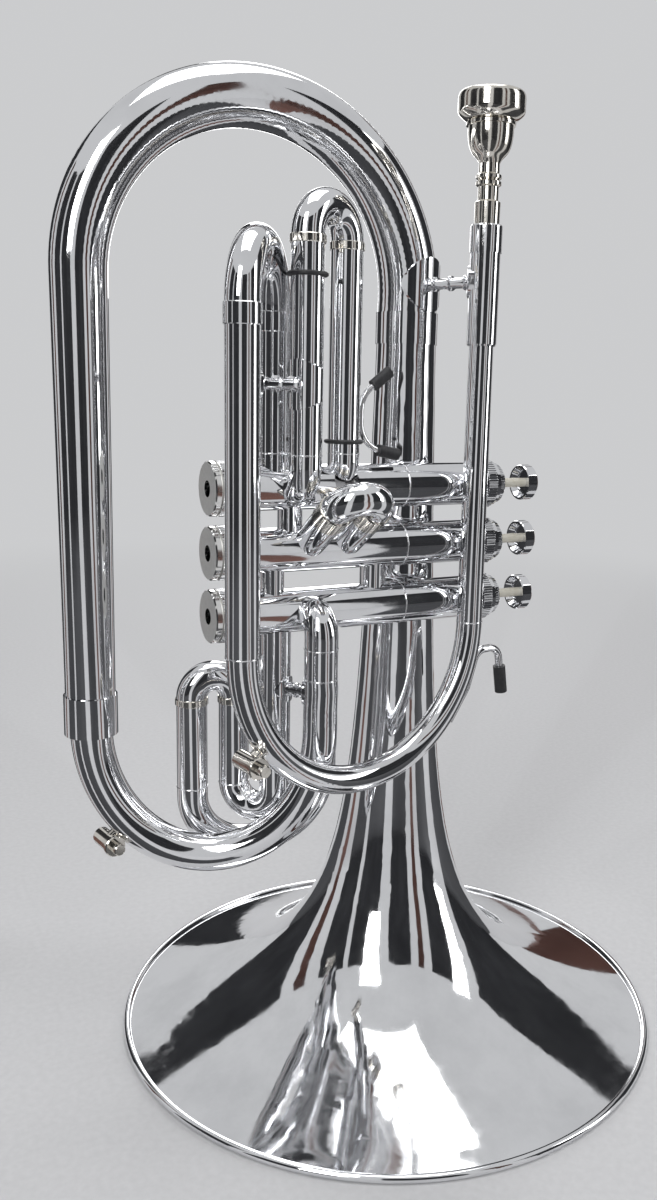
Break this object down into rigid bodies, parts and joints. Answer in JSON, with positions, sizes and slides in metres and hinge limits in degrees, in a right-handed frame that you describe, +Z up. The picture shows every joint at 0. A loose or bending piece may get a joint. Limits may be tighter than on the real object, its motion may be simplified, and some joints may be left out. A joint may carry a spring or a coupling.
{
  "type": "marching mellophone",
  "caption": "Marching mellophone standing on its flared bell: wrapped tubing, side-mounted piston valves, pull slides, push water keys and a cup mouthpiece.",
  "frame": {"origin": "centre of the bell's mouth on the floor the instrument stands on", "axes": "+Z up along the bell's axis; +X towards the finger buttons, parallel to the valves; +Y away from the player's slide side, behind the valves"},
  "size_m": [0.2926, 0.2666, 0.4399],
  "materials": {
    "chrome_plate": "mirror silver plate",
    "nickel_silver": "polished nickel silver, slightly warm",
    "black_rubber": "satin black",
    "valve_steel": "lapped",
    "cream_stem": "satin cream-white",
    "cap_felt": "felt",
    "spring_steel": "wire"
  },
  "bodies": {
    "horn": {"bell": "chrome_plate", "bell_rim": "chrome_plate", "bell_ferrule": "chrome_plate", "bell_saddles": "chrome_plate", "top_bow": "chrome_plate", "left_branch": "chrome_plate", "branch_ferrule": "chrome_plate", "lower_bow": "chrome_plate", "outlet_ferrule": "chrome_plate", "outlet_elbow": "chrome_plate", "receiver": "chrome_plate", "leadpipe": "chrome_plate", "leadpipe_bow": "chrome_plate", "tuning_sleeves": "chrome_plate", "casing_upper_sleeves": "chrome_plate", "valve_knuckles": "chrome_plate", "top_caps": "chrome_plate", "first_valve_elbows": "chrome_plate", "first_slide_sleeves": "chrome_plate", "second_slide_sleeves": "chrome_plate", "third_valve_front_loop": "chrome_plate", "third_valve_back_loop": "chrome_plate", "tuning_brace": "chrome_plate", "receiver_brace": "chrome_plate", "loop_brace": "chrome_plate", "thumb_saddle": "chrome_plate", "finger_hook": "chrome_plate", "valve_casing_1": "chrome_plate", "valve_casing_2": "chrome_plate", "valve_casing_3": "chrome_plate", "bottom_caps": "nickel_silver", "water_key_barrels": "nickel_silver", "rubber_sleeves": "black_rubber", "bumper_rings": "black_rubber", "valve_spring_1": "spring_steel", "valve_spring_2": "spring_steel", "valve_spring_3": "spring_steel", "water_key_spring_tuning": "spring_steel", "water_key_spring_bow": "spring_steel", "cap_felts": "cap_felt"},
    "mouthpiece": {"mouthpiece": "nickel_silver"},
    "tuning_slide": {"tuning_slide_legs": "chrome_plate", "tuning_slide_crook": "chrome_plate"},
    "first_slide": {"first_slide_legs": "nickel_silver", "first_slide_crook": "chrome_plate"},
    "second_slide": {"second_slide_legs": "nickel_silver", "second_slide_crook": "chrome_plate"},
    "third_slide": {"third_slide_legs": "nickel_silver", "third_slide_crook": "chrome_plate"},
    "tuning_key": {"water_key_pin_tuning": "nickel_silver"},
    "bow_key": {"water_key_pin_bow": "nickel_silver"},
    "valve_1": {"piston_1": "valve_steel", "stem_1": "cream_stem", "finger_button_1": "chrome_plate"},
    "valve_2": {"piston_2": "valve_steel", "stem_2": "cream_stem", "finger_button_2": "chrome_plate"},
    "valve_3": {"piston_3": "valve_steel", "stem_3": "cream_stem", "finger_button_3": "chrome_plate"}
  },
  "joints": [
    {"name": "valve_1_press", "type": "slide", "parent": "horn", "child": "valve_1", "axis": [-1, 0, 0], "range_m": [0, 0.013], "stiffness_N_per_m": 180, "springref_m": -0.012, "deforming": ["valve_spring_1"]},
    {"name": "valve_2_press", "type": "slide", "parent": "horn", "child": "valve_2", "axis": [-1, 0, 0], "range_m": [0, 0.013], "stiffness_N_per_m": 180, "springref_m": -0.012, "deforming": ["valve_spring_2"]},
    {"name": "valve_3_press", "type": "slide", "parent": "horn", "child": "valve_3", "axis": [-1, 0, 0], "range_m": [0, 0.013], "stiffness_N_per_m": 180, "springref_m": -0.012, "deforming": ["valve_spring_3"]},
    {"name": "tuning_slide_pull", "type": "slide", "parent": "horn", "child": "tuning_slide", "axis": [0, 0, 1], "range_m": [0, 0.04]},
    {"name": "first_slide_pull", "type": "slide", "parent": "horn", "child": "first_slide", "axis": [0, 0, 1], "range_m": [0, 0.06]},
    {"name": "second_slide_pull", "type": "slide", "parent": "horn", "child": "second_slide", "axis": [0, -0.8387, 0.5446], "range_m": [0, 0.012]},
    {"name": "third_slide_pull", "type": "slide", "parent": "horn", "child": "third_slide", "axis": [0, 0, 1], "range_m": [0, 0.035]},
    {"name": "mouthpiece_pull", "type": "slide", "parent": "horn", "child": "mouthpiece", "axis": [0, 0, 1], "range_m": [0, 0.03]},
    {"name": "tuning_key_press", "type": "slide", "parent": "horn", "child": "tuning_key", "axis": [-0.1736, 0.9848, 0], "range_m": [0, 0.003], "stiffness_N_per_m": 150, "springref_m": -0.003, "deforming": ["water_key_spring_tuning"]},
    {"name": "bow_key_press", "type": "slide", "parent": "horn", "child": "bow_key", "axis": [-0.1736, 0.9848, 0], "range_m": [0, 0.003], "stiffness_N_per_m": 150, "springref_m": -0.003, "deforming": ["water_key_spring_bow"]}
  ]
}
